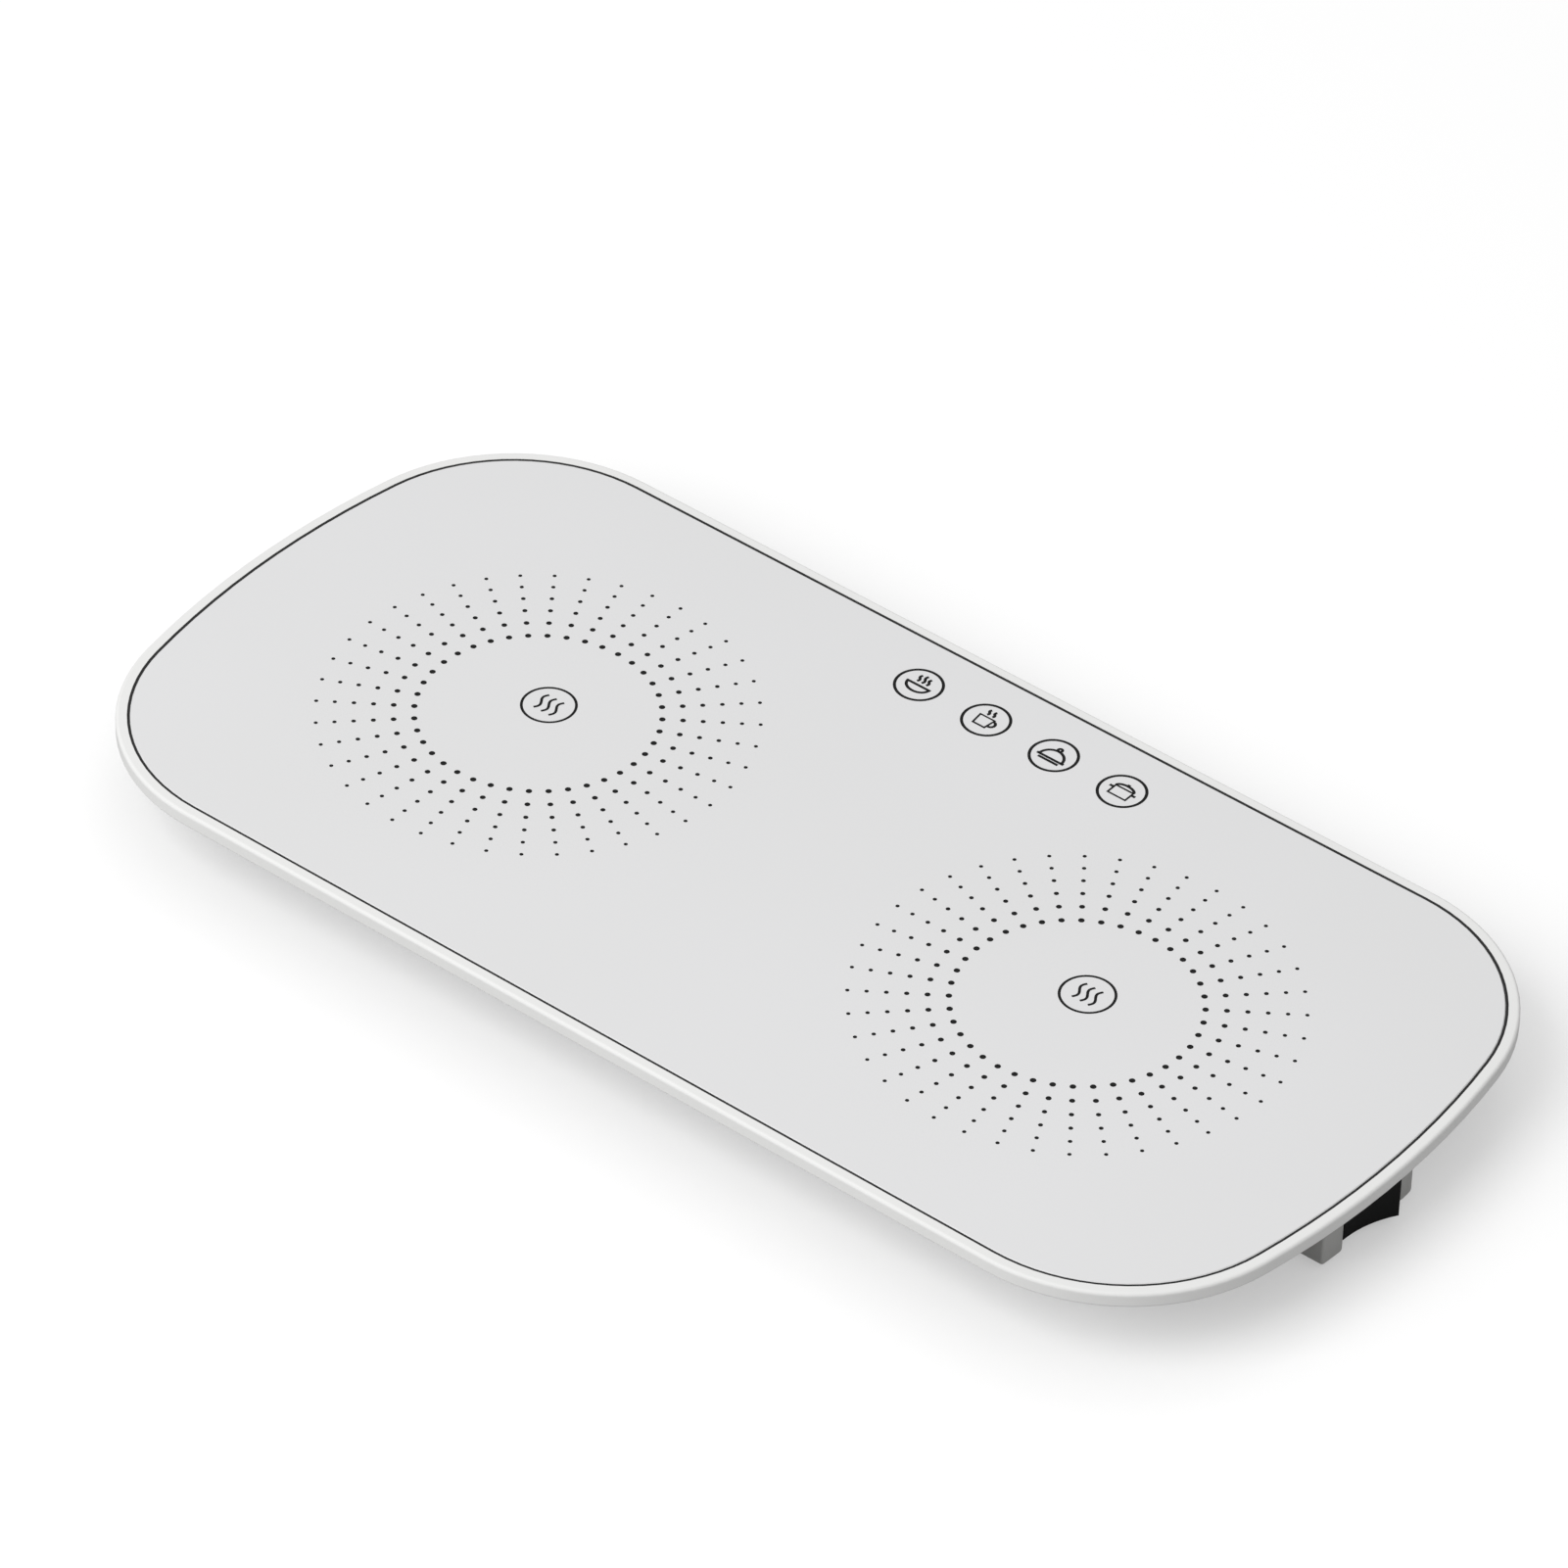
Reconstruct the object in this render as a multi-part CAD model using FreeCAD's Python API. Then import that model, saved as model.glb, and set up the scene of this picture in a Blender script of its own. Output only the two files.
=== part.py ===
import FreeCAD, Part
import math
import os

# Electric food warmer tray: a glass plate with two warming zones in a slim moulded rim,
# on four legs, with a rocker switch in a pod under its right-hand end.
# Millimetres. Origin on the table under the middle of the tray, X along it to the switch
# end, Y across it to the far long side, Z up.

V = FreeCAD.Vector
X_AXIS, Y_AXIS, Z_AXIS = V(1, 0, 0), V(0, 1, 0), V(0, 0, 1)

# Tray in plan
tray_length = 398.5
tray_width = 195.5
corner_radius = 57.0
end_radius = 286.0          # the ends bow out on this radius

# Heights above the table
plate_top = 25.6
pod_bottom = 2.0
pan_bottom = 17.0

# Rim and plate
plate_proud = 0.1           # plate above the rim
lip_width = 3.2
rim_drop = 4.7              # underside of the rim below the plate's top
rim_top_round = 1.0
rim_foot_round = 0.7
seam_gap = 0.8
plate_thickness = 3.0
plate_edge_break = 0.3
seal_thickness = 0.4
seal_recess = 0.2           # seal in the seam, below the plate's top
ledge_width = 9.6
seal_setback = 1.0          # seal's inner edge out from the ledge's
part_gap = 0.1              # general clearance between pieces that are put together
thread_clearance = 0.02     # screws inside their threads
over = 1.0                  # cutting shapes reach this far past what they cut
sink = 0.5                  # joined shapes reach this far into each other

# Pan and the screws that hold it
pan_setback = 7.0
pan_wall = 1.3
pan_flange_width = 7.5
pan_slope = 2.0
rib_radius = 52.0
rib_width = 1.6
rib_height = 0.6
boss_wall = 1.1
screw_thread_radius = 1.1
screw_head_radius = 2.6
screw_head_height = 1.2
screw_head_round = 0.5
screw_hole_gap = 0.3        # end of the screw holes below the ledge
recess_width = 0.5          # slots of the screws' cross recesses
recess_share = 0.55         # recess's depth and reach as shares of the head's
screw_inset = 10.2          # from the rim's outer edge to the screws
side_screw_margin = 82.25   # from the tray's ends to the outermost side screws
end_screw_offset = 34.0

# Heating
zone_shift = -1.8           # the zones' middle from the tray's middle, across
heater_end_margin = 30.25   # heaters from the tray's ends
heater_side_margin = 22.75  # and from its sides
heater_gap = 38.0           # between the two heaters
heater_corner = 20.0
heater_thickness = 0.3
busbar_width = 4.0
busbar_thickness = 0.15
mat_thickness = 1.9
mat_corner_radius = 30.0
mat_end_margin = 27.25
mat_side_margin = 21.75
mat_play = 2.0              # cut-outs in the mat round what stands in it

# Legs
leg_end_inset = 49.25       # legs' middles from the tray's ends
leg_side_inset = 35.75
leg_top_radius = 11.0
leg_foot_radius = 9.0
leg_fillet = 1.0
leg_web = 3.0               # solid top of the leg, under the pan
leg_bore_radius = 4.6
foot_height = 2.4
foot_plug_height = 3.0
foot_plug_break = 0.5
foot_round = 0.8
bolt_radius = 1.5
bolt_head_radius = 2.9
bolt_head_height = 2.2
bolt_head_round = 0.8
bolt_engagement = 3.2
bolt_boss_radius = 3.6
head_clearance = 0.2
bolt_tip_gap = 0.8          # end of the screws below their bosses' tops

# Switch pod
pod_width = 41.8
pod_front_setback = 7.0     # pod's front behind the tray's end
pod_length = 62.25
pod_wall = 2.0
pod_floor = 1.3
pod_floor_under_case = 0.8
pod_rail = 0.5              # side walls reach this far below the floor
pod_far_round = 4.3
pod_near_round = 0.8
cheek_round = 3.2
pod_back_round = 2.0
cheek_front_wall = 4.5      # solid front of each cheek, ahead of its hollow
pod_post_wall = 1.4
bay_width = 21.4
pod_bolt_inset_x = 7.5
pod_bolt_inset_y = 7.0
pod_bolt_seat = 6.0         # seat of the pod's screw heads above its underside

# Rocker switch
switch_height = 10.1        # middle of the switch above the table
flange_width = 21.0
flange_height = 15.0
flange_thickness = 1.8
switch_setback = 13.0       # flange's front behind the tray's end
switch_wall = 1.5
case_width = 19.0
case_height = 12.8
case_depth = 13.0
case_wall = 1.0
case_end_wall = 1.5
flange_round = 0.8
barb_height = 0.35          # catches that hold the case in the pod's wall
barb_length = 3.0
barb_half = 2.0
cutout_clearance = 0.1
rocker_height = 14.8
pivot_ahead = 1.7           # pivot in front of the flange
rocker_tilt = 17.0          # each way from the middle
rocker_reach = 10.3         # pressed end from the pivot, across
rocker_proud = 2.5          # pressed end from the pivot, forward
rocker_skirt = 1.2          # back edge behind the pivot when pressed
rocker_dish = 1.3
rocker_wall = 1.3
rocker_skirt_root = 3.0     # the skirt starts this far from the pivot, across
rocker_edge_round = 0.45
pin_radius = 0.8
pin_clearance = 0.04
hub_radius = 2.0
ear_thickness = 1.2
ear_half_width = 2.2
ear_clearance = 0.25
stem_radius = 2.0
stem_reach = 8.0
bore_start = 2.5            # spring's bore from the pivot
stem_end = 1.0              # the stem's end guides the plunger over this length
plunger_radius = 0.9
plunger_reach = 9.8
plunger_depth = 4.5
collar_thickness = 0.8
spring_radius = 1.35
spring_wall = 0.45
lever_pivot_depth = 11.2    # contact lever's edge behind the rocker's pivot
lever_span = 12.0
lever_width = 4.4
lever_thickness = 0.5
lever_rise = 13.0           # its arms slope up to the rocker by this angle
lever_tilt = 8.0
rivet_radius = 1.3
rivet_height = 0.6
tab_width = 4.8
tab_thickness = 0.8
tab_length = 6.5
tab_inset = 0.4             # outer tab's middle in from the lever's end
tab_fit = 0.1
tab_eye_radius = 0.7
tab_post_half = 0.5
tab_post_height = 2.0
contact_gap = 0.25
contact_pad = 0.8

# Power inlet on the pod's far side
inlet_ahead = 22.0          # inlet's middle from the pod's back
inlet_z = 9.9
inlet_width = 20.0
inlet_height = 12.0
inlet_depth = 15.0
inlet_flange_width = 24.0
inlet_flange_height = 14.2
inlet_flange = 1.4
inlet_round = 1.5
inlet_edge_break = 0.4
socket_width = 16.6
socket_height = 8.8
socket_depth = 11.0
contact_pitch = 8.6
contact_radius = 1.2
contact_length = 9.5
contact_tip_round = 0.6
inlet_tail = 3.0            # pins reach this far behind the inlet

# Thermostat, fuse and wiring
service_ahead = 24.0        # opening in the pan over the pod, from the pod's back
service_length = 29.0
service_width = 20.0
service_corner = 3.0
thermostat_ahead = 28.0     # from the pod's back
thermostat_radius = 7.0
thermostat_cap_radius = 8.3
thermostat_cap = 1.4
thermostat_body = 4.6
thermostat_tab_pitch = 6.4
thermostat_tab_length = 1.6
thermostat_tab_width = 4.0
thermostat_tab_thickness = 0.8
strap_length = 50.0
strap_width = 20.0
strap_thickness = 0.8
strap_corner = 3.0
strap_screw_inset = 4.5
strap_post_radius = 3.2
strap_head_radius = 2.2
strap_head_height = 0.9
screw_tip_gap = 0.2
fuse_behind = 18.0          # fuse's middle behind the pod
fuse_slot_width = 6.0
fuse_radius = 1.7
fuse_length = 14.0
fuse_round = 0.6
wire_radius = 0.8
wire_bend = 2.2
wire_gap = 0.05             # wires from what they are joined to
wire_hole_radius = 1.6
link_inset = 31.0           # wires between the zones start this far in along each heater
riser_ahead = 12.5          # wires rise through the pan's opening here, from the pod's back
riser_y = -6.0
feed_run = 50.0             # feed wire's end from the riser, along the tray
fuse_lead = 2.0             # straight lead at the fuse
grommet_wall = 0.8

# Levels worked out from the sizes above
lip_top = plate_top - plate_proud
rim_bottom = plate_top - rim_drop
plate_bottom = plate_top - plate_thickness
ledge_top = plate_bottom - seal_thickness
plate_inset = lip_width + seam_gap
ledge_inset = plate_inset + ledge_width
flange_bottom = rim_bottom - pan_wall
pan_inside = pan_bottom + pan_wall
heater_bottom = plate_bottom - heater_thickness
busbar_bottom = heater_bottom - busbar_thickness
mat_bottom = busbar_bottom - part_gap - mat_thickness
bolt_boss_top = pan_inside + bolt_engagement - pan_wall

tray_end = tray_length / 2
tray_side = tray_width / 2
side_screw_pitch = (tray_length - 2 * side_screw_margin) / 3
heater_length = tray_end - heater_end_margin - heater_gap / 2
heater_width = tray_width - 2 * heater_side_margin
zone_offset = (heater_length + heater_gap) / 2
mat_length = tray_length - 2 * mat_end_margin
mat_width = tray_width - 2 * mat_side_margin
leg_x = tray_end - leg_end_inset
leg_y = tray_side - leg_side_inset
pod_front = tray_end - pod_front_setback
pod_back = pod_front - pod_length
pod_half = pod_width / 2
bay_half = bay_width / 2
inlet_x = pod_back + inlet_ahead
service_x = pod_back + service_ahead
thermostat_x = pod_back + thermostat_ahead
fuse_x = pod_back - fuse_behind
link_x = heater_gap / 2 + link_inset
riser_x = pod_back + riser_ahead
feed_x = riser_x - feed_run
pod_floor_bottom = pod_bottom + pod_rail
pod_floor_top = pod_floor_bottom + pod_floor
flange_front = tray_end - switch_setback
flange_back = flange_front - flange_thickness
wall_back = flange_back - switch_wall
case_back = flange_back - case_depth
pivot_x = flange_front + pivot_ahead
lever_x = pivot_x - lever_pivot_depth


def box(x0, x1, y0, y1, z0, z1):
    return Part.makeBox(x1 - x0, y1 - y0, z1 - z0, V(x0, y0, z0))


def centred_box(length, width, z0, z1, x=0.0, y=0.0):
    return box(x - length / 2, x + length / 2, y - width / 2, y + width / 2, z0, z1)


def cylinder(radius, x, y, z0, z1):
    return Part.makeCylinder(radius, z1 - z0, V(x, y, z0), Z_AXIS)


def edges_along(shape, direction, near=None):
    """Straight edges of a shape along a direction, all or those that a test accepts."""
    found = []
    for edge in shape.Edges:
        if not isinstance(edge.Curve, (Part.Line, Part.LineSegment)):
            continue
        along = edge.tangentAt(edge.FirstParameter)
        if abs(along.dot(direction)) < 0.999:
            continue
        if near is None or near(edge.CenterOfMass):
            found.append(edge)
    return found


def edges_at_height(shape, z, near=None):
    """Edges that lie level at one height."""
    found = []
    for edge in shape.Edges:
        size = edge.BoundBox
        if abs(size.ZMin - z) > 1e-4 or abs(size.ZMax - z) > 1e-4:
            continue
        if near is None or near(edge.CenterOfMass):
            found.append(edge)
    return found


def edges_across(shape, y):
    """Edges that lie in one plane across the tray's width."""
    return [edge for edge in shape.Edges if abs(edge.BoundBox.YMin - y) < 1e-4]


def rounded_slab(length, width, radius, z0, z1, x=0.0, y=0.0):
    slab = centred_box(length, width, z0, z1, x, y)
    return slab.makeFillet(radius, edges_along(slab, Z_AXIS))


def tray_slab(inset, z0, z1):
    """The tray's plan outline, drawn in by an inset, as a slab between two heights."""
    side = tray_width / 2 - inset
    end = tray_length / 2 - inset
    bow = end_radius - inset
    corner = corner_radius - inset
    bow_x = end - bow
    corner_y = side - corner
    corner_x = bow_x + math.sqrt((bow - corner) ** 2 - corner_y ** 2)
    turn = math.atan2(corner_y, corner_x - bow_x)
    middle = (turn + math.pi / 2) / 2

    def corner_point(angle, sx, sy):
        return V(sx * (corner_x + corner * math.cos(angle)), sy * (corner_y + corner * math.sin(angle)), z0)

    def quarter(sx, sy):
        return [corner_point(a, sx, sy) for a in (math.pi / 2, middle, turn)]

    far_right, near_right = quarter(1, 1), quarter(1, -1)
    far_left, near_left = quarter(-1, 1), quarter(-1, -1)
    edges = [
        Part.LineSegment(far_left[0], far_right[0]),
        Part.Arc(*far_right),
        Part.Arc(far_right[2], V(end, 0, z0), near_right[2]),
        Part.Arc(near_right[2], near_right[1], near_right[0]),
        Part.LineSegment(near_right[0], near_left[0]),
        Part.Arc(*near_left),
        Part.Arc(near_left[2], V(-end, 0, z0), far_left[2]),
        Part.Arc(far_left[2], far_left[1], far_left[0]),
    ]
    outline = Part.Wire([edge.toShape() for edge in edges])
    return Part.Face(outline).extrude(V(0, 0, z1 - z0))


def tube(points, radius, bend):
    """A round wire along straight runs joined by tangent arcs."""
    path = []
    start = points[0]
    for before, corner, after in zip(points, points[1:], points[2:]):
        inward = (corner - before).normalize()
        outward = (after - corner).normalize()
        turn = inward.getAngle(outward)
        reach = bend * math.tan(turn / 2)
        entry = corner - inward * reach
        leave = corner + outward * reach
        bisector = (outward - inward).normalize()
        middle = corner + bisector * (bend / math.cos(turn / 2) - bend)
        path.append(Part.LineSegment(start, entry).toShape())
        path.append(Part.Arc(entry, middle, leave).toShape())
        start = leave
    path.append(Part.LineSegment(start, points[-1]).toShape())
    spine = Part.Wire(path)
    circle = Part.Circle(points[0], points[1] - points[0], radius)
    section = Part.Wire([circle.toShape()])
    return spine.makePipeShell([section], True, False)


def screw_places():
    """Pan screws: four along each long side and two at each end."""
    side_y = tray_width / 2 - screw_inset
    places = []
    for step in (-1.5, -0.5, 0.5, 1.5):
        for sign in (-1, 1):
            places.append((step * side_screw_pitch, sign * side_y))
    bow = end_radius - screw_inset
    end_x = tray_length / 2 - end_radius + math.sqrt(bow ** 2 - end_screw_offset ** 2)
    for sx in (-1, 1):
        for sy in (-1, 1):
            places.append((sx * end_x, sy * end_screw_offset))
    return places


def leg_places():
    return [(sx * leg_x, sy * leg_y) for sx in (-1, 1) for sy in (-1, 1)]


def pod_bolt_places():
    xs = (pod_back + pod_bolt_inset_x, wall_back - pod_bolt_inset_x)
    ys = (pod_half - pod_bolt_inset_y, pod_bolt_inset_y - pod_half)
    return [(x, y) for x in xs for y in ys]


# Rim: moulded surround with a rounded lip, an inner ledge for the plate, and screw bosses
def make_rim():
    boss_radius = screw_thread_radius + boss_wall
    rim = tray_slab(0, rim_bottom, lip_top)
    rim = rim.makeFillet(rim_top_round, edges_at_height(rim, lip_top))
    rim = rim.makeFillet(rim_foot_round, edges_at_height(rim, rim_bottom))
    rim = rim.cut(tray_slab(lip_width, ledge_top, lip_top + over))
    rim = rim.cut(tray_slab(ledge_inset, rim_bottom - over, ledge_top + over))
    for x, y in screw_places():
        rim = rim.fuse(cylinder(boss_radius, x, y, flange_bottom, rim_bottom + sink))
    for x, y in screw_places():
        rim = rim.cut(cylinder(screw_thread_radius, x, y, flange_bottom - over, ledge_top - screw_hole_gap))
    return rim


def make_plate():
    plate = tray_slab(plate_inset, plate_bottom, plate_top)
    return plate.makeChamfer(plate_edge_break, edges_at_height(plate, plate_top))


# Seal: a flat band under the plate's edge with an upstand in the seam
def make_seal():
    band = tray_slab(lip_width, ledge_top, plate_top - seal_recess)
    band = band.cut(tray_slab(plate_inset, plate_bottom, plate_top))
    return band.cut(tray_slab(ledge_inset - seal_setback, ledge_top - over, plate_bottom + over))


def pan_envelope():
    flange = tray_slab(pan_setback, flange_bottom, rim_bottom)
    belly = tray_slab(pan_setback + pan_flange_width, pan_bottom, flange_bottom + sink)
    belly = belly.makeChamfer(pan_slope, edges_at_height(belly, pan_bottom))
    return flange.fuse(belly)


def mat_hole_radius():
    return bolt_boss_radius + mat_play / 2


# Pan: the underside cover, with bosses for the leg and pod screws
def make_pan():
    inner = pan_setback + pan_flange_width + pan_wall
    pan = pan_envelope().cut(tray_slab(inner, pan_inside, rim_bottom + over))
    for side in (-1, 1):
        x = side * zone_offset
        ring = cylinder(rib_radius, x, 0, pan_bottom - rib_height, pan_bottom + sink)
        hollow = cylinder(rib_radius - rib_width, x, 0, pan_bottom - over, pan_bottom + over)
        pan = pan.fuse(ring.cut(hollow).cut(pod_clearance_block()))
    for x, y in leg_places() + pod_bolt_places():
        pan = pan.fuse(cylinder(bolt_boss_radius, x, y, pan_bottom + sink, bolt_boss_top))
    opening = rounded_slab(service_length, service_width, service_corner,
                           pan_bottom - over, pan_inside + over, service_x)
    pan = pan.cut(opening)
    for x, y in leg_places() + pod_bolt_places():
        pan = pan.cut(cylinder(bolt_radius, x, y, pan_bottom - over, bolt_boss_top - sink))
    hole = screw_thread_radius + boss_wall + part_gap
    for x, y in screw_places():
        pan = pan.cut(cylinder(hole, x, y, flange_bottom - over, rim_bottom + over))
    return pan


def pod_clearance_block():
    return box(pod_back - pod_wall, tray_end, -pod_half - pod_wall, pod_half + pod_wall, 0, pan_bottom)


def pan_screw(x, y):
    shank_radius = screw_thread_radius - thread_clearance
    face = flange_bottom - screw_head_height
    shank = cylinder(shank_radius, x, y, flange_bottom, ledge_top - 2 * screw_hole_gap)
    head = cylinder(screw_head_radius, x, y, face, flange_bottom)
    head = head.makeFillet(screw_head_round, edges_at_height(head, face))
    recess = cross_recess(x, y, face, recess_share * screw_head_height, recess_share * screw_head_radius)
    return head.fuse(shank).cut(recess)


def cross_recess(x, y, z, depth, half_width):
    """Cross recess in a screw head that is driven from below."""
    bar = centred_box(2 * half_width, recess_width, z - over, z + depth, x, y)
    other = centred_box(recess_width, 2 * half_width, z - over, z + depth, x, y)
    return bar.fuse(other)


def bolt(x, y, seat, top):
    """Pan-head screw driven up from below, with its head against a seat."""
    face = seat - bolt_head_height
    head = cylinder(bolt_head_radius, x, y, face, seat)
    head = head.makeFillet(bolt_head_round, edges_at_height(head, face))
    shank = cylinder(bolt_radius - thread_clearance, x, y, seat, top)
    recess = cross_recess(x, y, face, recess_share * bolt_head_height, recess_share * bolt_head_radius)
    return head.fuse(shank).cut(recess)


# Legs: tapered posts with a bore for the screw and the rubber foot's plug
def make_leg(x, y):
    height = pan_bottom - foot_height
    leg = Part.makeCone(leg_foot_radius, leg_top_radius, height, V(x, y, foot_height), Z_AXIS)
    leg = leg.makeFillet(leg_fillet, edges_at_height(leg, foot_height))
    leg = leg.cut(cylinder(leg_bore_radius, x, y, foot_height - over, pan_bottom - leg_web))
    return leg.cut(cylinder(bolt_radius + part_gap, x, y, foot_height, pan_bottom + over))


def make_foot(x, y):
    radius = leg_foot_radius - leg_fillet
    pad = cylinder(radius, x, y, 0, foot_height)
    pad = pad.makeFillet(foot_round, edges_at_height(pad, 0))
    plug = cylinder(leg_bore_radius - part_gap / 2, x, y, foot_height - sink, foot_height + foot_plug_height)
    plug = plug.makeChamfer(foot_plug_break, edges_at_height(plug, foot_height + foot_plug_height))
    return pad.fuse(plug)


# Heater: laminated film bonded under each zone, with a busbar along two of its sides
def make_heater(side):
    return rounded_slab(heater_length, heater_width, heater_corner, heater_bottom, plate_bottom,
                        side * zone_offset, zone_shift)


def make_busbars():
    bars = []
    run = heater_length - 2 * heater_corner
    for side in (-1, 1):
        for edge in (-1, 1):
            x, y = side * zone_offset, busbar_y(edge)
            bar = centred_box(run, busbar_width, busbar_bottom, heater_bottom, x, y)
            bars.append(bar)
    return Part.makeCompound(bars)


# Mat: insulation between the heaters and the pan, cut away round what stands in it
def make_mat():
    top = mat_bottom + mat_thickness
    mat = rounded_slab(mat_length, mat_width, mat_corner_radius, mat_bottom, top)
    for x, y in leg_places() + pod_bolt_places():
        mat = mat.cut(cylinder(mat_hole_radius(), x, y, mat_bottom - over, top + over))
    room_length = service_length + strap_width + mat_play
    room_width = strap_length + 2 * mat_play
    mat = mat.cut(centred_box(room_length, room_width, mat_bottom - over, top + over, service_x))
    slot_start = fuse_x - fuse_length - fuse_slot_width
    half_slot = fuse_slot_width / 2
    slot = box(slot_start, service_x, -half_slot, half_slot, mat_bottom - over, top + over)
    mat = mat.cut(slot)
    for end in wire_ends_at_heaters():
        mat = mat.cut(cylinder(wire_hole_radius, end.x, end.y, mat_bottom - over, top + over))
    return mat


# Pod: housing under the right-hand end, with two cheeks and a bay for the rocker
def make_pod():
    body = tray_slab(pod_front_setback, pod_bottom, rim_bottom)
    body = body.common(box(pod_back, tray_end, -pod_half, pod_half, pod_bottom, rim_bottom))
    bay = box(flange_back, tray_end, -bay_half, bay_half, pod_bottom - over, rim_bottom + over)
    body = body.cut(bay)
    front = pod_front - 2 * pod_wall
    rounds = (
        (pod_far_round, lambda place: place.x > front and place.y > pod_half - over),
        (pod_near_round, lambda place: place.x > front and place.y < over - pod_half),
        (cheek_round, lambda place: place.x > front and abs(abs(place.y) - bay_half) < over),
        (pod_back_round, lambda place: place.x < pod_back + over),
    )
    for radius, test in rounds:
        body = body.makeFillet(radius, edges_along(body, Z_AXIS, test))
    hollow = box(pod_back + pod_wall, wall_back, pod_wall - pod_half, pod_half - pod_wall,
                 pod_floor_top, rim_bottom + over)
    under = box(pod_back + pod_wall, pod_front, -bay_half, bay_half,
                pod_bottom - over, pod_floor_bottom)
    body = body.cut(hollow).cut(under)
    core_y = bay_half + pod_wall
    core_front = pod_front - cheek_front_wall
    for sign in (-1, 1):
        low, high = sorted((sign * core_y, sign * (pod_half - pod_wall)))
        core = box(wall_back - over, core_front, low, high, pod_floor_top, rim_bottom + over)
        body = body.cut(core)
    return finish_pod(body)


def finish_pod(body):
    """Screw posts, the switch and inlet cut-outs, and the top cut to sit against the pan."""
    seat = pod_bottom + pod_bolt_seat
    for x, y in pod_bolt_places():
        body = body.fuse(cylinder(bolt_head_radius + pod_post_wall, x, y, pod_floor_bottom, pan_bottom))
    for x, y in pod_bolt_places():
        body = body.cut(cylinder(bolt_head_radius + head_clearance, x, y, pod_bottom - over, seat))
        body = body.cut(cylinder(bolt_radius + part_gap, x, y, seat - over, pan_bottom + over))
    half_w = case_width / 2 + cutout_clearance
    half_h = case_height / 2 + cutout_clearance
    cutout = box(wall_back - over, flange_back + over, -half_w, half_w,
                 switch_height - half_h, switch_height + half_h)
    inlet_half = inlet_height / 2 + cutout_clearance
    inlet = centred_box(inlet_width + 2 * cutout_clearance, 4 * pod_wall,
                        inlet_z - inlet_half, inlet_z + inlet_half, inlet_x, pod_half)
    floor_clear = box(case_back - over, wall_back + sink, -half_w, half_w,
                      pod_floor_bottom + pod_floor_under_case, switch_height)
    body = body.cut(cutout).cut(inlet).cut(floor_clear)
    return body.cut(pan_envelope())


# Switch case: flange, hollow case and the two ears that carry the rocker's pin
def make_switch_case():
    half_w, half_h = case_width / 2, case_height / 2
    z = switch_height
    flange = box(flange_back, flange_front, -flange_width / 2, flange_width / 2,
                 z - flange_height / 2, z + flange_height / 2)
    flange = flange.makeFillet(flange_round, edges_along(flange, X_AXIS))
    case = flange.fuse(box(case_back, flange_back + sink, -half_w, half_w, z - half_h, z + half_h))
    inside_w, inside_h = half_w - case_wall, half_h - case_wall
    case = case.cut(box(case_back + case_end_wall, flange_front + over, -inside_w, inside_w,
                        z - inside_h, z + inside_h))
    for sign in (-1, 1):
        case = case.fuse(make_ear(sign))
    for sign in (-1, 1):
        y0, y1 = sorted((sign * (half_w - sink), sign * (half_w + barb_height)))
        barb = box(wall_back - barb_length, wall_back - part_gap, y0, y1, z - barb_half, z + barb_half)
        case = case.fuse(barb)
    for tab_y in (0.0, tab_offset()):
        slot = box(case_back - over, case_back + 2 * case_end_wall,
                   tab_y - tab_width / 2, tab_y + tab_width / 2,
                   z - tab_thickness / 2, z + tab_thickness / 2)
        case = case.cut(slot)
    return case


def tab_offset():
    return tab_inset - lever_span / 2


def ear_faces():
    """Outer and inner faces of an ear, from the switch's middle."""
    outer = rocker_height / 2 - rocker_wall - ear_clearance
    return outer - ear_thickness, outer


def make_ear(sign):
    inner, outer = ear_faces()
    z0, z1 = sorted((switch_height + sign * inner, switch_height + sign * outer))
    root = flange_back - part_gap
    bar = box(root, pivot_x, -ear_half_width, ear_half_width, z0, z1)
    nose = cylinder(ear_half_width, pivot_x, 0, z0, z1)
    foot_half = case_width / 2 - case_wall / 2
    foot = box(root, flange_front, -foot_half, foot_half, z0, z1)
    ear = bar.fuse(nose).fuse(foot)
    return ear.cut(cylinder(pin_radius, pivot_x, 0, z0 - over, z1 + over))


def at_rest(shape):
    """Turn a piece of the rocker from its middle place to rest, near end pressed in."""
    turned = shape.copy()
    turned.rotate(V(pivot_x, 0, 0), Z_AXIS, -rocker_tilt)
    return turned


def turned_point(forward, across):
    """A point given with the near end pressed in, in the rocker's middle place."""
    angle = math.radians(rocker_tilt)
    return V(pivot_x + forward * math.cos(angle) - across * math.sin(angle),
             forward * math.sin(angle) + across * math.cos(angle), 0)


def rocker_outline(grow, z0, z1):
    """The rocker's cap in plan, in its middle place, with its walls drawn in by -grow."""
    tip = turned_point(rocker_proud + grow, -rocker_reach - grow)
    back = turned_point(-rocker_skirt, -rocker_reach - grow)
    root = turned_point(-rocker_skirt, -rocker_skirt_root)
    middle = V(tip.x - rocker_dish, 0, 0)

    def mirrored(point):
        return V(point.x, -point.y, 0)

    edges = [
        Part.Arc(tip, middle, mirrored(tip)),
        Part.LineSegment(mirrored(tip), mirrored(back)),
        Part.LineSegment(mirrored(back), mirrored(root)),
        Part.LineSegment(mirrored(root), root),
        Part.LineSegment(root, back),
        Part.LineSegment(back, tip),
    ]
    face = Part.Face(Part.Wire([edge.toShape() for edge in edges]))
    face.translate(V(0, 0, z0))
    return face.extrude(V(0, 0, z1 - z0))


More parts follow.
